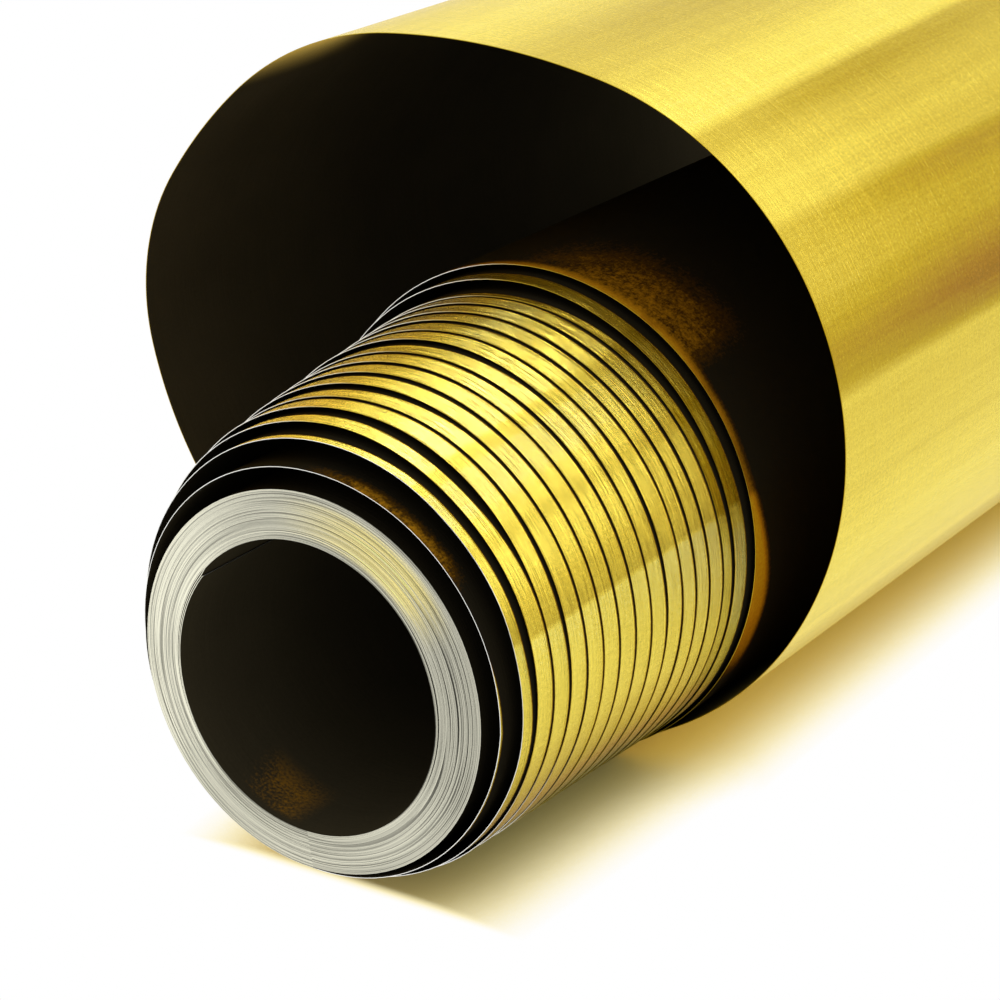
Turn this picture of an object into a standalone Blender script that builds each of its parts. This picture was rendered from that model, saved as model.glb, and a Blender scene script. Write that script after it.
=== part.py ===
"""A roll of bright brass foil lying on its side.

The inner turns are wound tight into a ring round an open bore.  The turns
outside them have slipped along the axis, each one a little further than the
one inside it, and the last turn has sprung open into a wide loop that rests
on the floor.  The whole roll is one strip, so it is one body.

The roll's axis runs along Y with the tight ring's end at the front (-Y), and
the floor is the plane Z = 0.
"""

import math

import bpy

# The strip.
FOIL_THICKNESS = 0.0001
STRIP_WIDTH = 0.160

# The tight ring.
BORE_RADIUS = 0.018
RING_TURNS = 54
RING_SIDE = 0.0008
RING_RISE = 0.0008
INNER_END_ANGLE = 142.5
INNER_END_SLANT = 0.5

# The slipped turns.  A lap count is nought where the first free lap passes its
# right-hand side, and the strip leaves the ring a quarter lap before that.  The
# space is what lies between a lap and the ring besides the foil wound between
# them, and the slip is how far the strip has moved along the axis.
LAP_MARKS = (-0.25, 0.0, 0.25, 0.5, 0.75, 2.0, 14.0, 15.0, 16.0, 16.75)
SPACE_RIGHT = (0.0, 0.00239, 0.00239, 0.00239, 0.00349, 0.00366, 0.00464, 0.00489, 0.00549, 0.00558)
SPACE_LEFT = (0.0, 0.00184, 0.00184, 0.0007, 0.00237, 0.00300, 0.00594, 0.00752, 0.00776, 0.00905)
SPACE_BELOW = (0.0, 0.00176, 0.00176, 0.0006, 0.00029, 0.00090, 0.00175, 0.00237, 0.00247, 0.00259)
SLIP = (0.0, 0.0, 0.0002, 0.0007, 0.0016, 0.00486, 0.0450, 0.0472, 0.0504, 0.0531)

# The sprung loop: it lies flat, bends up at its foot, rises straight, bends
# round five times and lies flat again at its free end.  Each radius is a ratio
# of the main one.
LOOP_RADIUS = 0.04464
FLAT_RUN = 0.00723
FOOT_RATIO = 0.2
FOOT_ANGLE = 30.0
RISING_RUN = 0.00963
TAIL_RUN = 0.0035
BEND_RATIOS = (1.0, 2.213, 0.936, 1.541, 0.699)
BEND_ANGLES = (137.3, 17.9, 37.1, 13.6, 47.3)

# How finely round forms are drawn.
STEPS_PER_LAP = 48
LOOP_STEP = 6.0

RING_RADIUS = BORE_RADIUS + RING_TURNS * FOIL_THICKNESS
LAP_STEP = 360.0 / STEPS_PER_LAP


def clear_scene():
    for obj in list(bpy.data.objects):
        bpy.data.objects.remove(obj, do_unlink=True)


def brass_material():
    material = bpy.data.materials.new("foil_brass")
    material.use_nodes = True
    shader = material.node_tree.nodes["Principled BSDF"]
    shader.inputs["Base Color"].default_value = (0.86, 0.66, 0.24, 1.0)
    shader.inputs["Metallic"].default_value = 1.0
    shader.inputs["Roughness"].default_value = 0.3
    return material


def between(values, lap):
    """Value at a lap count, straight from one mark to the next."""
    last = len(LAP_MARKS) - 2
    k = max(i for i in range(last + 1) if i == 0 or LAP_MARKS[i] <= lap)
    part = (lap - LAP_MARKS[k]) / (LAP_MARKS[k + 1] - LAP_MARKS[k])
    return values[k] + (values[k + 1] - values[k]) * part


def lap_circle(lap):
    """Centre and radius of the circle that the strip's outer face follows."""
    wound = (lap - LAP_MARKS[0] + 1.0) * FOIL_THICKNESS
    right = RING_SIDE + RING_RADIUS + wound + between(SPACE_RIGHT, lap)
    left = RING_SIDE - RING_RADIUS - wound - between(SPACE_LEFT, lap)
    below = RING_RISE - RING_RADIUS - wound - between(SPACE_BELOW, lap)
    radius = (right - left) / 2.0
    return (right + left) / 2.0, below + radius, radius


def on_circle(centre_x, centre_z, radius, angle):
    turn = math.radians(angle)
    return centre_x + radius * math.cos(turn), centre_z + radius * math.sin(turn)


def free_laps():
    """Outer point, inner point and slip at each step of the slipped turns."""
    rows = []
    count = round((LAP_MARKS[-1] - LAP_MARKS[0]) * STEPS_PER_LAP)
    for k in range(1, count + 1):
        lap = LAP_MARKS[0] + k / STEPS_PER_LAP
        x, z, radius = lap_circle(lap)
        outer = on_circle(x, z, radius, 360.0 * lap)
        inner = on_circle(x, z, radius - FOIL_THICKNESS, 360.0 * lap)
        rows.append((outer, inner, between(SLIP, lap)))
    return rows


def advance(point, heading, length):
    turn = math.radians(heading)
    return point[0] + length * math.cos(turn), point[1] + length * math.sin(turn)


def bend(point, heading, radius, angle):
    """Points and headings along an arc that turns to the left."""
    count = max(1, math.ceil(angle / LOOP_STEP))
    centre = advance(point, heading + 90.0, radius)
    headings = [heading + angle * k / count for k in range(1, count + 1)]
    return [(advance(centre, h - 90.0, radius), h) for h in headings]


def sprung_loop(start):
    """Outer point, inner point and slip round the loop, back down to the floor."""
    floor = start[1]
    path = [(advance(start, 0.0, FLAT_RUN), 0.0)]
    path += bend(*path[-1], FOOT_RATIO * LOOP_RADIUS, FOOT_ANGLE)
    point, heading = path[-1]
    path.append((advance(point, heading, RISING_RUN), heading))
    for ratio, angle in zip(BEND_RATIOS, BEND_ANGLES):
        path += bend(*path[-1], ratio * LOOP_RADIUS, angle)
    point, heading = path[-1]
    landing = (point[1] - floor) / (1.0 - math.cos(math.radians(heading)))
    path += bend(point, heading, landing, 360.0 - heading)
    path.append((advance(path[-1][0], 360.0, TAIL_RUN), 360.0))
    return [(p, advance(p, h + 90.0, FOIL_THICKNESS), SLIP[-1]) for p, h in path]


def ring_outline():
    """Outer points of the tight ring, from its lowest point round to the left."""
    angles = [270.0 + LAP_STEP * k for k in range(STEPS_PER_LAP)]
    return [on_circle(RING_SIDE, RING_RISE, RING_RADIUS, a) for a in angles]


def bore_outline():
    """Bore points at the same angles, opening by one thickness over a turn."""
    points = []
    for k in range(STEPS_PER_LAP):
        angle = (270.0 + LAP_STEP * k) % 360.0
        wound = (angle - INNER_END_ANGLE) % 360.0 / 360.0 or 1.0
        points.append(on_circle(0.0, 0.0, BORE_RADIUS + FOIL_THICKNESS * wound, angle))
    return points


class Shell:
    """Collects the points and faces of one closed body."""

    def __init__(self):
        self.points = []
        self.faces = []

    def pair(self, xz, slip):
        """Add a point on the front edge and its twin on the back edge."""
        self.points.append((xz[0], slip, xz[1]))
        self.points.append((xz[0], slip + STRIP_WIDTH, xz[1]))
        return len(self.points) - 2

    def wall(self, a, b):
        """Face running the strip's width, with its outside to the right of a to b."""
        self.faces.append((a, a + 1, b + 1, b))

    def ends(self, *corners):
        """The same face on the front edge and, turned round, on the back."""
        self.faces.append(tuple(reversed(corners)))
        self.faces.append(tuple(c + 1 for c in corners))


def build_shell():
    shell = Shell()
    ring = [shell.pair(p, 0.0) for p in ring_outline()]
    bore = [shell.pair(p, 0.0) for p in bore_outline()]
    tip = shell.pair(
        on_circle(0.0, 0.0, BORE_RADIUS, INNER_END_ANGLE + INNER_END_SLANT), 0.0
    )
    tip_at = round((INNER_END_ANGLE - 270.0) % 360.0 / LAP_STEP)

    laps = free_laps()
    strip = laps + sprung_loop(laps[-1][0])
    outer = [ring[0]] + [shell.pair(row[0], row[2]) for row in strip]
    inner = [None, ring[1]] + [shell.pair(row[1], row[2]) for row in strip[1:]]

    for k in range(STEPS_PER_LAP):
        n = (k + 1) % STEPS_PER_LAP
        near = tip if k == tip_at else bore[k]
        shell.wall(bore[n], near)
        shell.ends(near, bore[n], ring[n], ring[k])
        if k > 0:
            shell.wall(ring[k], ring[n])
    shell.wall(tip, bore[tip_at])
    shell.ends(bore[tip_at], tip, ring[tip_at])

    shell.ends(ring[0], ring[1], outer[1])
    for k in range(len(outer) - 1):
        shell.wall(outer[k], outer[k + 1])
        if k > 0:
            shell.wall(inner[k + 1], inner[k])
            shell.ends(outer[k], inner[k], inner[k + 1], outer[k + 1])
    shell.wall(outer[-1], inner[-1])
    return shell


def rest_on_floor(points):
    """Move the points so the floor is Z = 0 below the middle of the body."""
    low = [min(p[i] for p in points) for i in range(3)]
    high = [max(p[i] for p in points) for i in range(3)]
    shift = (-(low[0] + high[0]) / 2.0, -(low[1] + high[1]) / 2.0, -low[2])
    return [tuple(p[i] + shift[i] for i in range(3)) for p in points]


def build_roll():
    shell = build_shell()
    mesh = bpy.data.meshes.new("foil_roll")
    mesh.from_pydata(rest_on_floor(shell.points), [], shell.faces)
    mesh.materials.append(brass_material())
    mesh.shade_smooth()
    mesh.set_sharp_from_angle(angle=math.radians(30.0))
    mesh.validate()
    mesh.update()
    roll = bpy.data.objects.new("foil_roll", mesh)
    bpy.context.scene.collection.objects.link(roll)


clear_scene()
build_roll()
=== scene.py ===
"""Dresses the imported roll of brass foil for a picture.

The roll is one strip of foil.  Each stretch of it starts as a flat strip and
is wound on to its own path: the tight ring round the bore, the turns that
have slipped along the axis, and the last turn, which has sprung open.

Lengths are in metres.  Angles in the lists and the finishes are in degrees.
"""

import math

import bmesh
import bpy
from bpy.props import FloatProperty, FloatVectorProperty, IntProperty, PointerProperty
from mathutils import Euler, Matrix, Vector, noise


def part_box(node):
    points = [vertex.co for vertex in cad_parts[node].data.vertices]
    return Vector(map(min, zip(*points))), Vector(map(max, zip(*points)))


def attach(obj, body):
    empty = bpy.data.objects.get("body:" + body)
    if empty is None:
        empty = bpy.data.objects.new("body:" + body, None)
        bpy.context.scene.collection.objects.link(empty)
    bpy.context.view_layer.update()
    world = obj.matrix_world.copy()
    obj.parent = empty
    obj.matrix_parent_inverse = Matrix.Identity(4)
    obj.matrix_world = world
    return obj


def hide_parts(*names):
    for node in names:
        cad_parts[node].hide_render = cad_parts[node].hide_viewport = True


bl_info = {
    "name": "Roll of brass foil",
    "version": (1, 0, 0),
    "blender": (4, 5, 0),
    "location": "3D View > Sidebar > Foil roll",
    "description": "Winds a strip of brass foil into a roll with slipped turns and a sprung loop",
    "category": "Object",
}

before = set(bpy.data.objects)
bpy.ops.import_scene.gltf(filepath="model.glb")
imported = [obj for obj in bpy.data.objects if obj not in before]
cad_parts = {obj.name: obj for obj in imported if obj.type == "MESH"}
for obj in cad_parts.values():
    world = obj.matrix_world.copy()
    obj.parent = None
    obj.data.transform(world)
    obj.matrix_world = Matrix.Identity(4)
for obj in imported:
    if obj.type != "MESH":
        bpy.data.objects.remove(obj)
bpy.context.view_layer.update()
ROLL = "foil_roll"
ROLL_LOW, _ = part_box(ROLL)

# The bore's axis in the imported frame.
BORE_X = 0.0115358
BORE_Z = 0.027015

STRIP_WIDTH = 0.160

# Steps in a turn of the ring and in a slipped lap, and the length of a step on
# the sprung loop.
RING_STEPS = 96
LAP_STEPS = 120
LOOP_STEP = 0.0014

# The strip's inner end stands off the next turn over this share of a turn, and
# each turn after it loses this share of the lift.
LIFT_SPAN = 0.3
LIFT_LOSS = 0.42

# The slipped turns.  A lap count is nought where the first free lap passes its
# right-hand side, and the strip leaves the ring a quarter lap before that.  The
# space is what lies between a lap and the ring besides the foil wound between
# them.
LAP_MARKS = (-0.25, 0.0, 0.25, 0.5, 0.75, 2.0, 14.0, 15.0, 16.0, 16.75)
SPACE_RIGHT = (0.0, 0.00239, 0.00239, 0.00239, 0.00349, 0.00366, 0.00464, 0.00489, 0.00549, 0.00558)
SPACE_LEFT = (0.0, 0.00184, 0.00184, 0.0007, 0.00237, 0.00300, 0.00594, 0.00752, 0.00776, 0.00905)
SPACE_BELOW = (0.0, 0.00176, 0.00176, 0.0006, 0.00029, 0.00090, 0.00175, 0.00237, 0.00247, 0.00259)
WOUND_FOIL = 0.0001

# How far the strip has moved along the axis at a lap count, and how far it
# strays from that.
SLIP_MARKS = (-0.25, 0.0, 0.25, 0.5, 0.75, 2.0, 5.0, 11.0, 14.0, 15.0, 16.0, 16.75)
SLIP = (0.0, 0.0, 0.0002, 0.0007, 0.0016, 0.0046, 0.0146, 0.0349, 0.0439, 0.0462, 0.0499, 0.0531)
STRAY = 0.0001

# Room between each lap and the next, from the second lap to the sixteenth, in
# tenths of a millimetre: below right, right, above right and above.  It is
# scaled to fill the room that the second, fourteenth and sixteenth laps leave.
ROOM_ANGLES = (-15.0, 20.0, 55.0, 90.0)
ROOM = (
    (2.0, 2.0, 1.3, 0.9, 0.7, 0.6, 1.2, 0.8, 2.4, 1.0, 2.2, 0.5, 2.0, 8.0),
    (2.4, 5.5, 1.5, 2.2, 1.7, 1.8, 1.8, 4.5, 1.2, 2.5, 3.5, 1.3, 5.5, 13.0),
    (8.5, 1.5, 2.1, 2.2, 1.4, 2.8, 2.2, 1.8, 1.6, 2.2, 3.0, 2.4, 6.4, 8.0),
    (3.7, 1.1, 2.9, 1.7, 1.4, 1.1, 2.9, 0.9, 1.4, 1.1, 1.1, 0.6, 5.1, 3.4),
)
FIXED_LAPS = (2, 14, 16)

# How far the first and second laps stand out at the same angles.
FIRST_LAPS = (
    (0.0005, 0.0, -0.0005, -0.00067),
    (0.0005, 0.0004, 0.00005, 0.00022),
)

# How much of a lap shows in front of the next one; past it the lap is painted
# dark as shade.  The next lap's dark inside is mirrored a little way in front of
# its edge: by this many times the gap between them and by this length, and that
# mirror image is painted dark too.  The last lap shows by a length of its own.
MIRRORED_GAP = 1.1
MIRRORED_EDGE = 0.0001
LAST_SHOWN = 0.0045

# The sprung loop: runs that are straight, by their length, and bends that turn
# to the left, by their radius as a ratio of the main one and their angle.  Away
# from the floor its face sways in by up to the last length.
LOOP_RADIUS = 0.04464
LOOP_PARTS = (
    ("run", 0.00723),
    ("bend", 0.2, 30.0),
    ("run", 0.00963),
    ("bend", 1.0, 137.3),
    ("bend", 2.213, 17.9),
    ("bend", 0.936, 37.1),
    ("bend", 1.541, 13.6),
    ("bend", 0.699, 47.3),
)
TAIL_RUN = 0.0035
SWAY = 0.00012

# Turn counts between which the rear turns and the last turn fade in, and
# between which they fade out.
REAR_TURNS = (7.5, 12.0, 13.2, 13.9)
LAST_TURN = (15.70, 15.76, 17.0, 17.2)

# Painted reflections: tone of the turns by the angle that they face, and the
# angles that the list is spread over.
TURN_SPAN = (-90.0, 270.0)
TURN_PAINTED_REFLECTIONS = (
    (-90.0, 0.18),
    (-42.0, 0.24),
    (-31.0, 0.48),
    (-22.0, 0.67),
    (-12.0, 0.81),
    (4.0, 0.87),
    (15.8, 0.91),
    (16.4, 0.73),
    (25.0, 0.735),
    (32.0, 0.835),
    (37.5, 0.855),
    (38.5, 0.80),
    (41.5, 0.80),
    (43.0, 0.88),
    (46.0, 0.88),
    (49.0, 0.94),
    (58.0, 0.94),
    (58.8, 0.87),
    (62.4, 0.86),
    (63.0, 0.945),
    (76.0, 0.93),
    (82.0, 0.895),
    (88.0, 0.89),
    (96.0, 0.80),
    (112.0, 0.76),
    (140.0, 0.80),
    (160.0, 0.66),
    (185.0, 0.90),
    (206.0, 0.78),
    (208.0, 0.90),
    (250.0, 0.78),
    (269.0, 0.22),
)

# Painted reflections: tone of the sprung loop by the distance along it, and the
# distances that the list is spread over.
LOOP_SPAN = (0.0, 0.26)
LOOP_PAINTED_REFLECTIONS = (
    (0.0, 0.76),
    (0.020, 0.80),
    (0.031, 0.75),
    (0.036, 0.755),
    (0.040, 0.765),
    (0.0445, 0.855),
    (0.056, 0.875),
    (0.066, 0.82),
    (0.0778, 0.79),
    (0.0784, 0.64),
    (0.0805, 0.59),
    (0.0825, 0.54),
    (0.087, 0.63),
    (0.091, 0.71),
    (0.099, 0.70),
    (0.1003, 0.81),
    (0.105, 0.83),
    (0.1105, 0.775),
    (0.1115, 0.72),
    (0.114, 0.72),
    (0.1152, 0.89),
    (0.120, 0.89),
    (0.126, 0.80),
    (0.133, 0.73),
    (0.138, 0.73),
    (0.150, 0.88),
    (0.170, 0.72),
    (0.172, 0.86),
    (0.206, 0.68),
    (0.209, 0.82),
    (0.240, 0.78),
)

# Heights of the outer face's buckles, rolling lines and mottle.
BUCKLE = 0.00015
TURN_LINES = 0.00009
LOOP_LINES = 0.00004
MOTTLE = 0.000003

# Tint of the light that the outer face throws back at a glancing angle.
EDGE_TINT = (1.0, 0.97, 0.68, 1.0)

# The floor, and how near the roll it takes a painted warm shadow and painted
# warm light.  Between the last two distances behind the roll's front it turns plain.
FLOOR_RADIUS = 4.0
CONTACT_REACH = 0.012
CONTACT_FRONT = (0.010, 0.004)

# Least and greatest strength of the world.
DIM, BRIGHT = 0.3, 3.3
WHITE = (1.0, 1.0, 1.0, 1.0)

LAMP_SIZE = 0.25
LAMP_POWER = 3.0
LAMP_PLACE = (-0.10, 0.20, 1.10)
LAMP_AIM = (0.0, 0.0, 0.03)

# The camera's lens and sensor in millimetres, its place from the ring's front
# on the bore's axis, and its tilt and turn.
LENS = 109.71
SENSOR = 36.0
CAMERA_PLACE = (0.18944, -0.2543, 0.14491)
CAMERA_TILT = 68.951
CAMERA_TURN = 32.632

# The outer face of a wound strip takes the first material slot, and these two
# take the next ones.
INNER_FACE, CUT_EDGE = 1, 2


# Sizes and colours


def length(name, description, default, precision=5, **limits):
    """A length that a user may change."""
    return FloatProperty(
        name=name,
        description=description,
        default=default,
        precision=precision,
        unit="LENGTH",
        **limits,
    )


def colour(name, description, default):
    """A colour that a user may change."""
    return FloatVectorProperty(
        name=name,
        description=description,
        subtype="COLOR",
        size=4,
        min=0.0,
        max=1.0,
        default=default,
    )


class FOILROLL_PG_sizes(bpy.types.PropertyGroup):
    """Sizes of the roll that a user may change."""

    foil: length(
        "Foil thickness",
        "Thickness shown for the free turns of the strip",
        0.00008,
        min=0.00002,
    )
    tight_foil: length(
        "Tight foil thickness",
        "Thickness shown for each turn of the tight ring",
        0.000097,
        precision=6,
        min=0.00002,
    )
    width: length(
        "Strip width",
        "Width of the strip, along the roll's axis",
        STRIP_WIDTH,
        precision=2,
        min=0.01,
    )
    bore: length(
        "Bore radius", "Radius of the open bore", 0.018, precision=4, min=0.001
    )
    ring: length(
        "Ring radius", "Outer radius of the tight ring", 0.0234, precision=4, min=0.002
    )
    ring_shift: length(
        "Ring shift",
        "How far the ring's outside lies right of and above the bore",
        0.0008,
    )
    ring_turns: IntProperty(
        name="Ring turns",
        description="Whole turns in the tight ring",
        default=53,
        min=2,
    )
    inner_end: FloatProperty(
        name="Inner end",
        description="Angle at which the strip starts in the bore",
        default=math.radians(142.5),
        subtype="ANGLE",
    )
    end_lift: length(
        "Inner end lift",
        "How far the strip's inner end stands off the next turn",
        0.0003,
    )
    ragged: length(
        "Ragged ends", "How far turns of the ring stand back from its end", 0.00006
    )


class FOILROLL_PG_colours(bpy.types.PropertyGroup):
    """Colours of the foil and the stage."""

    # Painted shade between turns: the darkest tone of the brass.
    gap: colour("Gap", "Brass between turns", (0.011, 0.009, 0.005, 1.0))
    shade: colour("Deep shade", "Brass in deep shade", (0.050, 0.022, 0.002, 1.0))
    brown: colour("Brown", "Brass where it mirrors the dark", (0.335, 0.152, 0.006, 1.0))
    amber: colour("Amber", "Brass in half shade", (0.50, 0.34, 0.012, 1.0))
    gold: colour("Gold", "Brass in even light", (0.70, 0.52, 0.055, 1.0))
    bright: colour("Bright", "Brass in full light", (0.939, 0.753, 0.105, 1.0))
    # Painted highlight: the palest tone of the brass.
    pale: colour("Pale", "Brass at its palest", (1.0, 0.88, 0.25, 1.0))
    # Painted reflection: the tint of brass that mirrors other brass.
    ruddy: colour("Ruddy", "Tint of brass that mirrors other brass", (1.0, 0.80, 0.45, 1.0))
    # Painted shade: the inner face is near-black for the shade inside the roll.
    inner: colour("Inner face", "The foil's dull inner face", (0.038, 0.031, 0.017, 1.0))
    # Painted light on the lining near an open edge.
    lining: colour("Lining", "Inner face near an open edge", (1.0, 0.72, 0.17, 1.0))
    edge: colour("Cut edge", "Slit edges of the free turns", (1.0, 0.99, 0.93, 1.0))
    # Painted sheen: brass mirrored in the slit edges.
    sheen: colour("Sheen", "Brass sheen on slit edges", (1.0, 0.86, 0.34, 1.0))
    stack: colour("Ring end", "Stacked slit edges of the ring", (0.66, 0.645, 0.52, 1.0))
    floor: colour("Floor", "The floor", (0.96, 0.96, 0.95, 1.0))
    # Painted warm tint of the floor's shadow close under the roll.
    contact: colour("Contact", "The floor close under the roll", (1.0, 0.84, 0.28, 1.0))
    # Painted warm light on the floor round the roll.
    haze: colour("Haze", "The floor round the roll", (1.0, 0.88, 0.49, 1.0))


# Winding


class Station:
    """Where one line across the strip lies on the roll."""

    def __init__(self, x, z, facing, slip, shown=1.0):
        self.x = x
        self.z = z
        self.facing = facing
        self.slip = slip
        self.shown = shown
        self.along = 0.0


def measured(path):
    """The path with each station's distance along the strip filled in."""
    for a, b in zip(path, path[1:]):
        b.along = a.along + math.hypot(b.x - a.x, b.z - a.z)
    return path


def between(values, lap, marks=LAP_MARKS):
    """Value at a lap count, straight from one mark to the next."""
    last = len(marks) - 2
    k = max(i for i in range(last + 1) if i == 0 or marks[i] <= lap)
    part = (lap - marks[k]) / (marks[k + 1] - marks[k])
    return values[k] + (values[k + 1] - values[k]) * part


def eased(value):
    """A share, held between 0 and 1, with both ends eased."""
    value = min(1.0, max(0.0, value))
    return value * value * (3.0 - 2.0 * value)


def set_back(turn, side):
    """How far a turn of the ring stands back from its end, from 0 to 1."""
    single = noise.noise(Vector((1.4 * side[0], 1.4 * side[1], 1.9 * turn)))
    grouped = noise.noise(Vector((0.6 * side[0], 0.6 * side[1], 0.21 * turn + 7.0)))
    return min(1.0, max(0.0, single) * 1.6 + 0.5 * abs(grouped))


def ring_path(sizes):
    """Outer face of the tight ring's turns, from the bore outwards."""
    first = math.degrees(sizes.inner_end)
    turns = sizes.ring_turns + (270.0 - first) % 360.0 / 360.0
    count = round(turns * RING_STEPS)
    path = []
    for i in range(count + 1):
        turn = turns * i / count
        out = (turn + 1.0) / (turns + 1.0)
        angle = math.radians(first + 360.0 * turn)
        side = math.cos(angle), math.sin(angle)
        lift = 1.0 - eased((turn % 1.0) / LIFT_SPAN)
        lift *= max(0.0, 1.0 - LIFT_LOSS * math.floor(turn))
        radius = sizes.bore + (sizes.ring - sizes.bore) * out - sizes.end_lift * lift
        settle = eased(turn / 0.4) * eased((turns - turn) / 1.5)
        path.append(
            Station(
                sizes.ring_shift * out + radius * side[0],
                sizes.ring_shift * out + radius * side[1],
                first + 360.0 * turn,
                sizes.ragged * set_back(turn, side) * settle,
                0.0,
            )
        )
    return measured(path)


def lap_circle(sizes, lap):
    """Centre and radius of the circle that the strip's outer face follows."""
    wound = (lap - LAP_MARKS[0] + 1.0) * WOUND_FOIL
    wound -= WOUND_FOIL * max(0.0, 1.0 - (lap - LAP_MARKS[0]) / 0.25)
    right = sizes.ring_shift + sizes.ring + wound + between(SPACE_RIGHT, lap)
    left = sizes.ring_shift - sizes.ring - wound - between(SPACE_LEFT, lap)
    below = sizes.ring_shift - sizes.ring - wound - between(SPACE_BELOW, lap)
    radius = (right - left) / 2.0
    return (right + left) / 2.0, below + radius, radius


def reach(sizes, lap, angle):
    """How far the circle of a lap count lies from the bore's axis at an angle."""
    x, z, radius = lap_circle(sizes, lap)
    turn = math.radians(angle)
    return radius + x * math.cos(turn) + z * math.sin(turn)


def at_angle(rows, angle):
    """Values at an angle on the seen side, eased from one row to the next."""
    last = len(ROOM_ANGLES) - 1
    place = (angle - ROOM_ANGLES[0]) / (ROOM_ANGLES[1] - ROOM_ANGLES[0])
    place = min(float(last), max(0.0, place))
    k = min(last - 1, math.floor(place))
    part = eased(place - k)
    return [a + (b - a) * part for a, b in zip(rows[k], rows[k + 1])]


def bunched(sizes, lap):
    """How far a lap stands out from its circle, because laps lie unevenly."""
    number = math.floor(lap + 0.25)
    angle = 360.0 * (lap - number)
    if number < 1 or number >= FIXED_LAPS[-1]:
        return 0.0
    seen = eased((angle + 90.0) / 45.0) * eased((210.0 - angle) / 80.0)
    first, second = at_angle(list(zip(*FIRST_LAPS)), angle)
    if number == 1:
        return seen * first
    room = at_angle(ROOM, angle)
    low, high = next(
        pair for pair in zip(FIXED_LAPS, FIXED_LAPS[1:]) if pair[0] <= number < pair[1]
    )
    shares = room[low - 2 : high - 2]
    start, end = (reach(sizes, n + angle / 360.0, angle) for n in (low, high))
    start += second if low == 2 else 0.0
    spare = end - start - (high - low) * sizes.foil
    out = start + (number - low) * sizes.foil
    out += spare * sum(shares[: number - low]) / sum(shares)
    return seen * (out - reach(sizes, lap, angle))


def shown_width(sizes, lap):
    """How much of a lap shows in front of the next one and its mirror image."""
    if lap + 1.0 > LAP_MARKS[-1]:
        return LAST_SHOWN
    angle = 360.0 * lap
    step = between(SLIP, lap + 1.0, SLIP_MARKS) - between(SLIP, lap, SLIP_MARKS)
    gap = reach(sizes, lap + 1.0, angle) + bunched(sizes, lap + 1.0)
    gap -= reach(sizes, lap, angle) + bunched(sizes, lap) + sizes.foil
    return max(0.0, step - MIRRORED_GAP * max(0.0, gap) - MIRRORED_EDGE)


def slipped_path(sizes):
    """Outer face of the slipped turns, from the ring to the floor."""
    count = round((LAP_MARKS[-1] - LAP_MARKS[0]) * LAP_STEPS)
    path = []
    for i in range(count + 1):
        lap = LAP_MARKS[0] + i / LAP_STEPS
        x, z, radius = lap_circle(sizes, lap)
        radius += bunched(sizes, lap)
        angle = math.radians(360.0 * lap)
        place = Vector((math.cos(angle), math.sin(angle), 0.9 * lap))
        stray = STRAY * noise.noise(place) * eased(lap) * eased(LAP_MARKS[-1] - lap)
        path.append(
            Station(
                x + radius * math.cos(angle),
                z + radius * math.sin(angle),
                360.0 * lap,
                max(0.0, between(SLIP, lap, SLIP_MARKS) + stray),
                shown_width(sizes, lap),
            )
        )
    return measured(path)


def loop_path(start):
    """Outer face of the sprung loop, from the floor round to the floor again."""
    path = [Station(start.x, start.z, -90.0, start.slip)]

    def follow(distance, turned):
        count = max(1, math.ceil(distance / LOOP_STEP))
        chord = distance / count
        if turned:
            half = math.radians(turned / count) / 2.0
            chord *= math.sin(half) / half
        for _ in range(count):
            last = path[-1]
            heading = math.radians(last.facing + 90.0 + turned / count / 2.0)
            path.append(
                Station(
                    last.x + chord * math.cos(heading),
                    last.z + chord * math.sin(heading),
                    last.facing + turned / count,
                    last.slip,
                )
            )

    for kind, *values in LOOP_PARTS:
        if kind == "run":
            follow(values[0], 0.0)
        else:
            ratio, angle = values
            follow(LOOP_RADIUS * ratio * math.radians(angle), angle)
    angle = 360.0 - (path[-1].facing + 90.0)
    landing = (path[-1].z - start.z) / (1.0 - math.cos(math.radians(angle)))
    follow(landing * math.radians(angle), angle)
    follow(TAIL_RUN, 0.0)
    return measured(path)


def loop_sway(station, across):
    """How far the loop's face lies out from its path: inwards, away from the floor."""
    angle = math.radians(station.facing)
    free = eased((station.facing + 60.0) / 40.0)
    free *= eased((250.0 - station.facing) / 60.0)
    place = Vector((2.4 * math.cos(angle), 2.4 * math.sin(angle), across * 9.0))
    return -SWAY * free * (0.5 + 0.5 * noise.noise(place))


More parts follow.
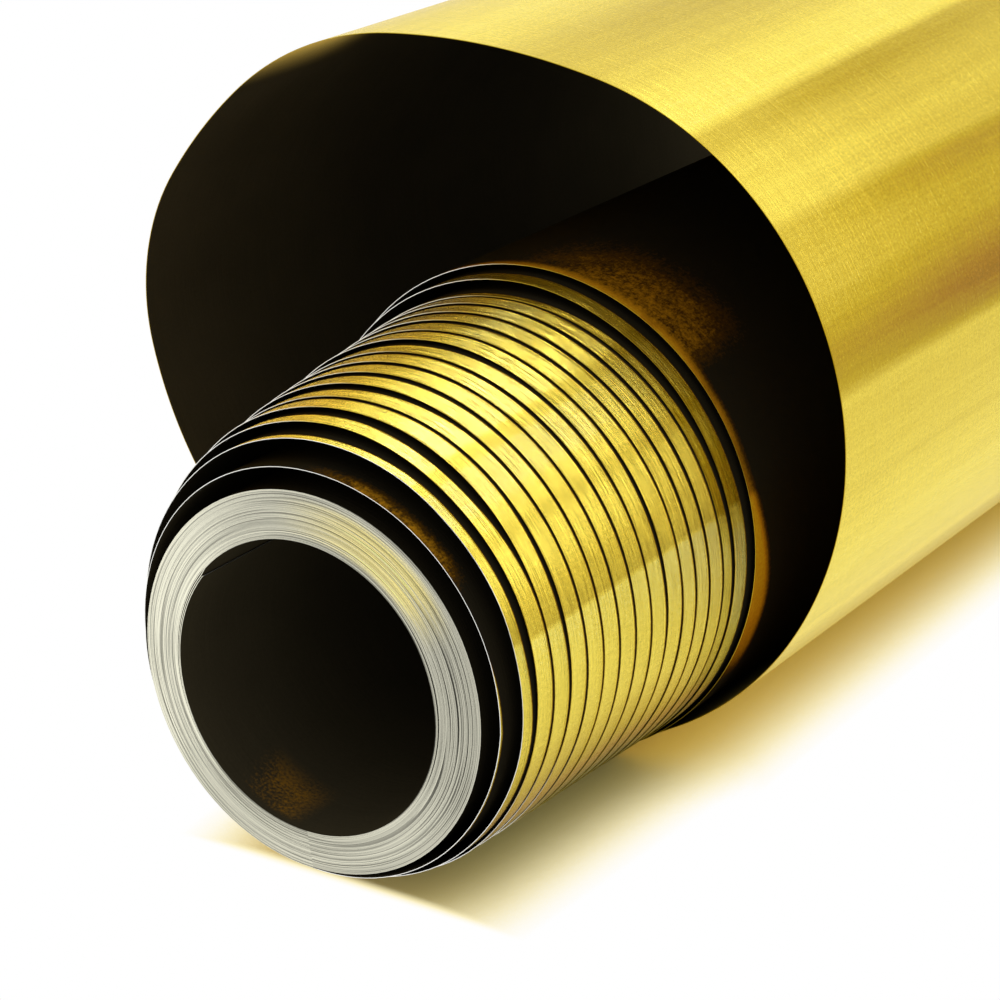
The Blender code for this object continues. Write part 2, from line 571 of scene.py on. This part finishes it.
def wound_strip(name, path, width, thickness, columns, finishes, sway=None):
    """A flat strip of foil laid along a path and given its thickness."""
    steps = len(path) - 1
    bm = bmesh.new()
    bmesh.ops.create_grid(bm, x_segments=steps, y_segments=columns, size=1.0)
    unwrapped = bm.loops.layers.uv.new("strip")
    turned = bm.loops.layers.uv.new("turned")
    places = {}
    for vert in bm.verts:
        station = path[round((vert.co.x + 1.0) / 2.0 * steps)]
        across = (vert.co.y + 1.0) / 2.0 * width
        turn = math.radians(station.facing)
        out = sway(station, across) if sway else 0.0
        vert.co = (
            BORE_X + station.x + out * math.cos(turn),
            ROLL_LOW.y + station.slip + across,
            BORE_Z + station.z + out * math.sin(turn),
        )
        wound = station.facing / 360.0, station.shown
        places[vert] = (station.along, across), wound
    bmesh.ops.reverse_faces(bm, faces=bm.faces)
    for edge in bm.edges:
        edge.smooth = not edge.is_boundary
    for face in bm.faces:
        face.smooth = True
        for loop in face.loops:
            loop[unwrapped].uv, loop[turned].uv = places[loop.vert]
    mesh = bpy.data.meshes.new(name)
    bm.to_mesh(mesh)
    bm.free()
    for finish in finishes:
        mesh.materials.append(finish)
    piece = bpy.data.objects.new(name, mesh)
    bpy.context.scene.collection.objects.link(piece)
    wall = piece.modifiers.new("foil", "SOLIDIFY")
    wall.thickness = thickness
    wall.offset = -1.0
    wall.use_rim = True
    wall.material_offset = INNER_FACE
    wall.material_offset_rim = CUT_EDGE
    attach(piece, "root")
    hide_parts(ROLL)


# Shader maths


class Amount:
    """A shader value that Python's own signs can work on."""

    def __init__(self, finish, socket):
        self.finish = finish
        self.socket = socket

    def _with(self, operation, *values):
        return self.finish.node(
            "ShaderNodeMath", {"operation": operation}, dict(enumerate(values))
        )

    def __add__(self, other):
        return self._with("ADD", self, other)

    def __radd__(self, other):
        return self._with("ADD", other, self)

    def __sub__(self, other):
        return self._with("SUBTRACT", self, other)

    def __rsub__(self, other):
        return self._with("SUBTRACT", other, self)

    def __mul__(self, other):
        return self._with("MULTIPLY", self, other)

    def __rmul__(self, other):
        return self._with("MULTIPLY", other, self)

    def __truediv__(self, other):
        return self._with("DIVIDE", self, other)

    def __rtruediv__(self, other):
        return self._with("DIVIDE", other, self)

    def fraction(self):
        return self._with("FRACT", self)

    def least(self, other):
        return self._with("MINIMUM", self, other)

    def most(self, other):
        return self._with("MAXIMUM", self, other)


class Finish:
    """A material or world under construction."""

    def __init__(self, owner):
        self.owner = owner
        owner.use_nodes = True
        self.tree = owner.node_tree

    def node(self, kind, settings, values, output=0):
        """Add a node: its settings first, then its sockets; returns an output."""
        made = self.tree.nodes.new(kind)
        for name, value in settings.items():
            if name == "stops":
                ramp = made.color_ramp
                while len(ramp.elements) < len(value):
                    ramp.elements.new(1.0)
                for element, (place, shade) in zip(ramp.elements, value):
                    element.position = place
                    element.color = shade
            else:
                setattr(made, name, value)
        for name, value in values.items():
            self.put(made.inputs[name], value)
        return Amount(self, made.outputs[output])

    def put(self, socket, value):
        """Link a socket to an amount, or set it to a value."""
        if isinstance(value, Amount):
            self.tree.links.new(value.socket, socket)
        else:
            socket.default_value = value

    def strip_place(self):
        """Distance along the strip and across it."""
        along, across, _ = self.parts(
            self.node("ShaderNodeUVMap", {"uv_map": "strip"}, {})
        )
        return along, across

    def turn_place(self):
        """Turns that the strip has made, the angle it faces and the width shown."""
        turns, shown, _ = self.parts(
            self.node("ShaderNodeUVMap", {"uv_map": "turned"}, {})
        )
        angle = (turns + 0.25).fraction() * 360.0 - 90.0
        return turns, angle, shown

    def object_place(self):
        """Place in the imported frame."""
        return self.parts(self.node("ShaderNodeTexCoord", {}, {}, "Object"))

    def parts(self, vector):
        """The three parts of a vector."""
        first = self.node("ShaderNodeSeparateXYZ", {}, {0: vector})
        return [Amount(self, socket) for socket in first.socket.node.outputs]

    def joined(self, x, y, z=0.0):
        """A vector from its three parts."""
        return self.node("ShaderNodeCombineXYZ", {}, {0: x, 1: y, 2: z})

    def noise(self, x, y, z=0.0, detail=2.0, roughness=0.5):
        """Soft noise at a place given by its parts, from 0 to 1."""
        return self.node(
            "ShaderNodeTexNoise",
            {"noise_dimensions": "3D"},
            {
                "Vector": self.joined(x, y, z),
                "Scale": 1.0,
                "Detail": detail,
                "Roughness": roughness,
            },
        )

    def ranged(self, value, low, high, to_low=0.0, to_high=1.0):
        """An eased step as a value runs from low to high, which may lie below it."""
        return self.node(
            "ShaderNodeMapRange",
            {"interpolation_type": "SMOOTHSTEP"},
            {0: value, 1: low, 2: high, 3: to_low, 4: to_high},
        )

    def band(self, value, rise, full, fade, end):
        """Full from one value to another, and eased to nothing on both sides."""
        return self.ranged(value, rise, full) * self.ranged(value, end, fade)

    def levels(self, value, stops, low, high):
        """Tone that goes straight from stop to stop as a value runs up."""
        grey = [
            ((at - low) / (high - low), (tone, tone, tone, 1.0)) for at, tone in stops
        ]
        return self.node(
            "ShaderNodeValToRGB", {"stops": grey}, {0: (value - low) / (high - low)}
        )

    def blend(self, part, first, second, kind="MIX"):
        """One colour over another."""
        return self.node(
            "ShaderNodeMix",
            {"data_type": "RGBA", "blend_type": kind},
            {0: part, 6: first, 7: second},
            2,
        )

    def mixed(self, part, first, second):
        """One shader over another."""
        return self.node("ShaderNodeMixShader", {}, {0: part, 1: first, 2: second})

    def tinted(self, colour, tone):
        """The colour times a tone."""
        return self.blend(1.0, colour, self.grey(tone), "MULTIPLY")

    def grey(self, tone):
        """A grey of a tone."""
        return self.node("ShaderNodeCombineColor", {}, {0: tone, 1: tone, 2: tone})


# Finishes

# Inside noise a place, an angle or a count of turns is multiplied by the cycles
# for each of its units, and a number by itself sets one noise apart from others.


def foil_finish(name, **sockets):
    """A finish of the foil and its shader, with the sockets that stay constant."""
    finish = Finish(bpy.data.materials.new(name))
    shader = finish.tree.nodes["Principled BSDF"]
    shader.inputs["Metallic"].default_value = 1.0
    for socket, value in sockets.items():
        shader.inputs[socket.replace("_", " ")].default_value = value
    return finish, shader


def brass(finish, colours, tone):
    """Colour of the brass at a tone of painted light, from painted shade to a painted highlight,
    browner where it is darker.
    """
    shades = (
        (0.04, colours.gap),
        (0.15, colours.shade),
        (0.42, colours.brown),
        (0.62, colours.amber),
        (0.75, colours.gold),
        (0.88, colours.bright),
        (0.98, colours.pale),
    )
    stops = [(at, tuple(shade)) for at, shade in shades]
    return finish.node("ShaderNodeValToRGB", {"stops": stops}, {0: tone})


def rolled_grain(finish, along, across):
    """Fine marks of the rolling mill: lines along the strip, ripples and mottle."""
    line = finish.noise(along * 60.0, across * 9000.0, detail=3.0)
    ripple = finish.noise(along * 3000.0, across * 90.0, 4.0)
    mottle = finish.noise(along * 2200.0, across * 2200.0, roughness=0.7)
    return line, ripple, mottle


def outer_face(finish, shader, colours, tone, along, across, lines, ruddy=None):
    """Brushed, slightly buckled brass in a given tone of painted reflections, with an optional
    painted ruddy tint where it mirrors brass.
    """
    line, ripple, mottle = rolled_grain(finish, along, across)
    buckle = finish.noise(along * 130.0, across * 5.0, 8.0)
    grain = 0.06 * line + 0.06 * ripple + 0.20 * mottle - 0.16
    colour = brass(finish, colours, tone + grain)
    if ruddy is not None:
        # Painted reflection of other brass: a ruddy tint.
        mirrored_tint = finish.blend(1.0, colour, tuple(colours.ruddy), "MULTIPLY")
        colour = finish.blend(ruddy, colour, mirrored_tint)
    finish.put(shader.inputs["Base Color"], colour)
    finish.put(shader.inputs["Roughness"], 0.17 + 0.10 * line + 0.06 * mottle)
    height = buckle * BUCKLE + line * lines + mottle * MOTTLE
    finish.put(
        shader.inputs["Normal"],
        finish.node(
            "ShaderNodeBump", {}, {"Strength": 1.0, "Distance": 1.0, "Height": height}
        ),
    )
    return finish.owner


def rear_shift(finish, turns, angle, rear):
    """Added tone of painted light and shade: rear turns are duller above right, and most are
    painted darker below.
    """
    added = 0.13 * finish.ranged(angle, 72.0, 90.0)
    added = added - finish.ranged(angle, 18.0, 40.0, -0.06, 0.05)
    # Painted shade below the rear turns.
    under = finish.ranged(turns, 2.0, 8.0) * finish.ranged(angle, -22.0, -42.0)
    return rear * added - 0.16 * under


def late_shift(finish, turns, angle, fine):
    """Added tone, a painted reflection: the outermost turns mirror the loop's dark inside."""
    late = finish.ranged(turns, 13.15, 13.9) * finish.band(angle, 6.0, 20.0, 84.0, 108.0)
    low = finish.ranged(turns, 13.9, 14.2) * finish.ranged(angle, 18.0, 8.0)
    return 0.10 * low - late * (0.08 + 0.20 * fine)


def mirrored_glow(finish, along, across, turns, angle, last, fine):
    """Tone of the painted brown glow, a painted reflection, on covered parts of the last turn and
    the first.
    """
    wide = finish.band(angle, 42.0, 54.0, 70.0, 108.0)
    wide = wide * finish.ranged(across, 0.021, 0.004) * last
    near = finish.band(angle, 34.0, 48.0, 74.0, 98.0)
    near = near * finish.ranged(across, 0.0034, 0.0004) * finish.ranged(turns, 0.9, 0.8)
    patch = finish.noise(along * 260.0, across * 260.0, 1.0, detail=4.0, roughness=0.7)
    return (wide + near) * (0.4 * patch + 0.5 * fine - 0.22).most(0.0)


def turned_face(colours):
    """Outer face of the turns: painted reflection streaks, and painted shade with no shine where
    covered or mirroring the dark.
    """
    finish, shader = foil_finish(
        "turned_face", Specular_Tint=EDGE_TINT, Specular_IOR_Level=0.0
    )
    along, across = finish.strip_place()
    turns, angle, shown = finish.turn_place()
    cloud = finish.noise(along * 40.0, across * 20.0, 3.0)
    fine = finish.noise(along * 1600.0, across * 900.0, 3.0, roughness=0.8)
    rear = finish.band(turns, *REAR_TURNS)
    last = finish.band(turns, *LAST_TURN)

    tone = finish.levels(angle, TURN_PAINTED_REFLECTIONS, *TURN_SPAN) + 0.06 * cloud - 0.03
    tone = tone + rear_shift(finish, turns, angle, rear)
    tone = tone + late_shift(finish, turns, angle, fine) * (1.0 - last)
    # Painted shade: the last turn is darker all round, most of all above right and above.
    tone = tone - last * finish.ranged(angle, 4.0, 24.0, 0.36, 0.46)

    # Painted shade: past the shown width, and on the last turn past a lit strip along its edge, the
    # face is painted dark with no shine.
    lit = finish.ranged(angle, 24.0, -14.0, 0.0012, 0.0040)
    painted_shade = finish.ranged(across - shown, -0.0003, 0.00005)
    painted_shade = painted_shade.most(last * finish.ranged(across - lit, -0.0012, 0.0012))
    # Painted reflection: a brown glow within the painted shade.
    glow = mirrored_glow(finish, along, across, turns, angle, last, fine)
    tone = tone * (1.0 - painted_shade) + painted_shade * glow
    finish.put(shader.inputs["Metallic"], 1.0 - painted_shade.most(last))

    # Painted reflection: a ruddy tint where the turns mirror other brass.
    ruddy = finish.ranged(angle, 84.0, 104.0)
    ruddy = ruddy.most(last * finish.ranged(angle, 24.0, 8.0, 0.2, 0.8))
    ruddy = ruddy.most(0.12 * rear * finish.ranged(angle, 40.0, 14.0))
    return outer_face(finish, shader, colours, tone, along, across, TURN_LINES, ruddy)


def loop_face(colours):
    """Outer face of the sprung loop, with painted reflection streaks along the roll's axis and
    painted shade further in from its front edge.
    """
    finish, shader = foil_finish("loop_face", Specular_Tint=EDGE_TINT)
    along, across = finish.strip_place()
    waver = finish.noise(along * 12.0, across * 14.0, 6.0) - 0.5
    lean = finish.ranged(along, 0.098, 0.113) * across * 0.042
    place = along - lean + waver * 0.0014
    tone = finish.levels(place, LOOP_PAINTED_REFLECTIONS, *LOOP_SPAN)
    fine = finish.noise(place * 420.0, across * 5.0, 1.0, detail=3.0, roughness=0.6)
    broad = finish.noise(place * 60.0, across * 16.0, 9.0)
    # Painted shade: darker streaks darken more, and the loop darkens further in from its front
    # edge.
    depth_shade = (0.84 - tone).most(0.0) * 0.5
    depth_shade = depth_shade + 0.075 * finish.band(along, 0.092, 0.100, 0.112, 0.118)
    depth_shade = depth_shade * finish.ranged(across, 0.0, 0.05)
    tone = tone + 0.10 * fine + 0.05 * broad - 0.075 - depth_shade
    return outer_face(finish, shader, colours, tone, along, across, LOOP_LINES)


def dull_grain(finish, along, across):
    """Lines, mottle and clouds on the foil's dark inner face."""
    line, _, mottle = rolled_grain(finish, along, across)
    cloud = finish.noise(along * 60.0, across * 45.0, 5.0, detail=3.0)
    return line, mottle, cloud


def dull_face(finish, shader, colour, grain, roughness):
    """A face without shine, in a colour that holds its painted shade, with its grain."""
    line, mottle, cloud = grain
    tone = 0.4 + 0.4 * line + 0.5 * cloud + 0.3 * mottle
    finish.put(shader.inputs["Base Color"], finish.tinted(colour, tone))
    finish.put(shader.inputs["Roughness"], roughness + 0.12 * cloud)
    return finish.owner


def inner_face(colours):
    """Inner face of the foil, painted near-black as the shade inside the roll, with a painted brown
    glimmer low in the bore.
    """
    finish, shader = foil_finish("inner_face", Metallic=0.0, Specular_IOR_Level=0.0)
    along, across = finish.strip_place()
    turns, _, _ = finish.turn_place()
    line, mottle, cloud = dull_grain(finish, along, across)
    low = finish.band(turns, 0.635, 0.66, 0.70, 0.74)
    low = low * finish.band(across, 0.0005, 0.002, 0.005, 0.011)
    # Painted reflection: a brown glimmer low in the bore.
    glimmer = low * finish.ranged(cloud + 0.5 * mottle, 0.68, 0.92) * 0.6
    colour = finish.blend(glimmer, tuple(colours.inner), tuple(colours.brown))
    return dull_face(finish, shader, colour, (line, mottle, cloud), 0.34)


def loop_lining(colours):
    """Inner face of the loop, painted near-black as shade, with painted light near its open end
    above and to the right.
    """
    finish, shader = foil_finish("loop_lining", Metallic=0.0, Specular_IOR_Level=0.0)
    along, across = finish.strip_place()
    _, angle, _ = finish.turn_place()
    side = finish.band(angle, -62.0, -40.0, 112.0, 132.0)
    depth = finish.ranged(angle, 40.0, 10.0, 0.026, 0.042)
    # Painted light that falls in by the open end.
    near = finish.ranged(depth - across, 0.0, 0.015, 0.03, 1.0)
    colour = finish.blend(side * near, tuple(colours.inner), tuple(colours.lining))
    return dull_face(finish, shader, colour, dull_grain(finish, along, across), 0.30)


def slit_edge(finish, shader, colour, tone, spots):
    """A slit edge of the foil, duller where it has spots."""
    finish.put(shader.inputs["Base Color"], finish.tinted(colour, tone))
    finish.put(shader.inputs["Roughness"], 0.35 + 0.15 * spots)
    return finish.owner


def cut_edge(colours):
    """Slit edge of a free turn: silvery, with a painted gold reflection where it mirrors brass and
    painted shade below on later turns.
    """
    finish, shader = foil_finish("cut_edge")
    along, _ = finish.strip_place()
    turns, angle, _ = finish.turn_place()
    spots = finish.noise(along * 90.0, 2.0, detail=3.0)
    later = finish.ranged(turns, 3.5, 5.5)
    gold_reflection = finish.ranged(turns, 1.4, 1.9) * finish.ranged(angle, 112.0, 92.0)
    gold_reflection = gold_reflection * finish.ranged(angle, -34.0, -14.0).most(later)
    colour = finish.blend(gold_reflection, tuple(colours.edge), tuple(colours.gold))
    # Painted shade below, on the later turns.
    shade = 1.0 - 0.6 * later * finish.ranged(angle, -16.0, -36.0)
    return slit_edge(finish, shader, colour, (0.75 + 0.5 * spots) * shade, spots)


def loop_edge(colours):
    """Slit edge of the sprung loop, as gold as its outer face."""
    finish, shader = foil_finish("loop_edge")
    along, _ = finish.strip_place()
    spots = finish.noise(along * 90.0, 2.0, detail=3.0)
    return slit_edge(finish, shader, tuple(colours.amber), 0.7 + 0.6 * spots, spots)


def ring_edge(colours):
    """Stacked slit edges at the ring's ends, silvery with a painted brass sheen above right and
    painted shade at the strip's inner end.
    """
    finish, shader = foil_finish("ring_edge")
    along, across = finish.strip_place()
    turns, angle, _ = finish.turn_place()
    layer = finish.noise(turns * 0.42, angle * 0.004, 5.0, detail=1.0, roughness=0.7)
    score = finish.noise(turns * 0.6, angle * 0.008, 9.0, detail=1.0)
    glint = finish.noise(turns * 1.1, angle * 0.02, 2.0)
    # Painted sheen, a painted reflection of brass, above right.
    sheen = finish.band(angle, 24.0, 48.0, 60.0, 104.0)
    sheen = sheen * finish.band(turns, 2.0, 14.0, 40.0, 51.0)
    sheen = sheen * finish.ranged(glint, 0.28, 0.50)
    colour = finish.blend(sheen, tuple(colours.stack), tuple(colours.sheen))
    # Painted shade at the strip's inner end, with no shine.
    tip_shade = finish.ranged(along, 0.0006, 0.0002) * finish.band(
        across, 0.0, 0.0004, STRIP_WIDTH - 0.0004, STRIP_WIDTH - 0.0001
    )
    right = finish.band(angle, -50.0, -5.0, 24.0, 52.0)
    left = finish.band(angle, 110.0, 155.0, 205.0, 235.0)
    scored = (0.5 + 0.4 * right) * finish.ranged(score, 0.55, 0.63)
    tone = (0.45 + 1.1 * layer) * (1.0 - scored)
    tone = tone * (1.0 + 0.35 * left - 0.15 * right) * (1.0 - 0.93 * tip_shade)
    finish.put(shader.inputs["Base Color"], finish.tinted(colour, tone.least(1.5)))
    finish.put(shader.inputs["Metallic"], 1.0 - tip_shade)
    finish.put(shader.inputs["Roughness"], 0.32 + 0.15 * layer)
    return finish.owner


def strip_finishes(colours, *makers):
    """Materials of a strip, each made once: outer face, inner face and cut edge."""
    return [
        bpy.data.materials.get(maker.__name__) or maker(colours) for maker in makers
    ]


# Pieces


class FOILROLL_OT_wound_ring(bpy.types.Operator):
    """Wind the tight ring of turns round the bore"""

    bl_idname = "foilroll.wound_ring"
    bl_label = "Wound ring"

    def execute(self, context):
        sizes = context.scene.foilroll_sizes
        colours = context.scene.foilroll_colours
        finishes = strip_finishes(colours, turned_face, inner_face, ring_edge)
        wound_strip(
            "wound_ring", ring_path(sizes), sizes.width, sizes.tight_foil, 2, finishes
        )
        return {"FINISHED"}


class FOILROLL_OT_slipped_turns(bpy.types.Operator):
    """Wind the turns that have slipped along the axis"""

    bl_idname = "foilroll.slipped_turns"
    bl_label = "Slipped turns"

    def execute(self, context):
        sizes = context.scene.foilroll_sizes
        colours = context.scene.foilroll_colours
        finishes = strip_finishes(colours, turned_face, inner_face, cut_edge)
        wound_strip(
            "slipped_turns", slipped_path(sizes), sizes.width, sizes.foil, 8, finishes
        )
        return {"FINISHED"}


class FOILROLL_OT_sprung_loop(bpy.types.Operator):
    """Bend the last turn of the strip, which has sprung open"""

    bl_idname = "foilroll.sprung_loop"
    bl_label = "Sprung loop"

    def execute(self, context):
        sizes = context.scene.foilroll_sizes
        colours = context.scene.foilroll_colours
        finishes = strip_finishes(colours, loop_face, loop_lining, loop_edge)
        path = loop_path(slipped_path(sizes)[-1])
        wound_strip(
            "sprung_loop", path, sizes.width, sizes.foil, 24, finishes, loop_sway
        )
        return {"FINISHED"}


class FOILROLL_OT_stage(bpy.types.Operator):
    """Set the floor, the light and the camera"""

    bl_idname = "foilroll.stage"
    bl_label = "Stage"

    def execute(self, context):
        scene = context.scene
        lay_floor(scene.foilroll_colours)
        light_world(scene)
        hang_lamp(scene)
        place_camera(scene)
        scene.view_settings.view_transform = "Standard"
        return {"FINISHED"}


# Stage


def floor_finish(colours):
    """White, but darker and warmer close under the roll: real shadow with a painted warm tint, and
    painted warm light round it.
    """
    finish = Finish(bpy.data.materials.new("floor"))
    shader = finish.tree.nodes["Principled BSDF"]
    shader.inputs["Roughness"].default_value = 0.6
    shader.inputs["Specular IOR Level"].default_value = 0.2
    x, y, _ = finish.object_place()
    speck = finish.noise(x * 700.0, y * 700.0, detail=3.0)
    openness = finish.node(
        "ShaderNodeAmbientOcclusion", {"samples": 8}, {"Distance": CONTACT_REACH}, "AO"
    )
    front = [ROLL_LOW.y + distance for distance in CONTACT_FRONT]
    openness = openness.most(finish.ranged(y, *front))
    colour = finish.blend(
        finish.ranged(openness, 0.3, 0.95),
        tuple(colours.contact),
        tuple(colours.floor),
    )
    finish.put(
        shader.inputs["Base Color"], finish.tinted(colour, 0.985 + 0.02 * speck)
    )
    # Painted light: to camera and glossy rays the floor shows warm and white light over its real
    # shading.
    seen = finish.node("ShaderNodeLightPath", {}, {}, "Is Camera Ray")
    seen = seen.most(finish.node("ShaderNodeLightPath", {}, {}, "Is Glossy Ray"))
    haze, white = (
        finish.node("ShaderNodeEmission", {}, {"Color": light})
        for light in (tuple(colours.haze), WHITE)
    )
    shown = finish.mixed(finish.ranged(openness, 0.55, 0.95), haze, white)
    lit = Amount(finish, shader.outputs[0])
    surface = finish.mixed(seen * finish.ranged(openness, 0.26, 0.73), lit, shown)
    finish.put(finish.tree.nodes["Material Output"].inputs[0], surface)
    return finish.owner


def lay_floor(colours):
    """A round floor, far wider than the roll."""
    bm = bmesh.new()
    bmesh.ops.create_circle(bm, cap_ends=True, segments=96, radius=FLOOR_RADIUS)
    mesh = bpy.data.meshes.new("floor")
    bm.to_mesh(mesh)
    bm.free()
    mesh.materials.append(floor_finish(colours))
    floor = bpy.data.objects.new("floor", mesh)
    bpy.context.scene.collection.objects.link(floor)


def light_world(scene):
    """A white room.  Metal mirrors it with a dark skirting and a bright band."""
    world = bpy.data.worlds.new("white_room")
    scene.world = world
    finish = Finish(world)
    glossy = finish.node("ShaderNodeLightPath", {}, {}, "Is Glossy Ray")
    x, y, z = finish.parts(finish.node("ShaderNodeTexCoord", {}, {}, "Generated"))
    panel = finish.noise(x * 2.2, y * 2.2, z * 2.2, detail=0.0)
    shade = 0.45 * finish.band(z, -0.02, 0.04, 0.16, 0.30)
    shade = shade + 0.25 * finish.ranged(panel, 0.42, 0.58)
    shade = shade * finish.ranged(y, 0.62, 0.35)
    lift = 2.3 * finish.band(y, 0.05, 0.25, 0.45, 0.70)
    lift = lift * finish.ranged(z, -0.1, 0.4)
    dim, bright = (
        finish.node("ShaderNodeBackground", {}, {"Color": WHITE, "Strength": level})
        for level in (DIM, BRIGHT)
    )
    part = (1.0 + glossy * (lift - shade) - DIM) / (BRIGHT - DIM)
    finish.put(
        finish.tree.nodes["World Output"].inputs[0], finish.mixed(part, dim, bright)
    )


def hang_lamp(scene):
    """A round lamp above, a little to the left."""
    data = bpy.data.lights.new("key", "AREA")
    data.shape = "DISK"
    data.size = LAMP_SIZE
    data.energy = LAMP_POWER
    lamp = bpy.data.objects.new("key", data)
    scene.collection.objects.link(lamp)
    lamp.location = LAMP_PLACE
    aim = Vector(LAMP_AIM) - lamp.location
    lamp.rotation_euler = aim.to_track_quat("-Z", "Y").to_euler()


def place_camera(scene):
    """A camera in front of the roll, above it and to its right."""
    data = bpy.data.cameras.new("camera")
    data.lens = LENS
    data.sensor_width = SENSOR
    data.clip_start = 0.01
    camera = bpy.data.objects.new("camera", data)
    scene.collection.objects.link(camera)
    camera.location = Vector((BORE_X, ROLL_LOW.y, BORE_Z)) + Vector(CAMERA_PLACE)
    camera.rotation_euler = Euler(
        (math.radians(CAMERA_TILT), 0.0, math.radians(CAMERA_TURN))
    )
    scene.camera = camera


# Panel and registration


class FOILROLL_PT_panel(bpy.types.Panel):
    """Lists the roll's pieces, sizes and colours"""

    bl_idname = "FOILROLL_PT_panel"
    bl_label = "Roll of brass foil"
    bl_space_type = "VIEW_3D"
    bl_region_type = "UI"
    bl_category = "Foil roll"

    def draw(self, context):
        for piece in PIECES:
            self.layout.operator(piece.bl_idname)
        for group in (context.scene.foilroll_sizes, context.scene.foilroll_colours):
            for name in group.bl_rna.properties.keys():
                if name not in ("rna_type", "name"):
                    self.layout.prop(group, name)


PIECES = (
    FOILROLL_OT_wound_ring,
    FOILROLL_OT_slipped_turns,
    FOILROLL_OT_sprung_loop,
    FOILROLL_OT_stage,
)
CLASSES = (FOILROLL_PG_sizes, FOILROLL_PG_colours, *PIECES, FOILROLL_PT_panel)


def register():
    for cls in CLASSES:
        bpy.utils.register_class(cls)
    bpy.types.Scene.foilroll_sizes = PointerProperty(type=FOILROLL_PG_sizes)
    bpy.types.Scene.foilroll_colours = PointerProperty(type=FOILROLL_PG_colours)


def unregister():
    del bpy.types.Scene.foilroll_colours
    del bpy.types.Scene.foilroll_sizes
    for cls in reversed(CLASSES):
        bpy.utils.unregister_class(cls)


def main():
    register()
    bpy.ops.foilroll.wound_ring()
    bpy.ops.foilroll.slipped_turns()
    bpy.ops.foilroll.sprung_loop()
    bpy.ops.foilroll.stage()


if __name__ == "__main__":
    main()
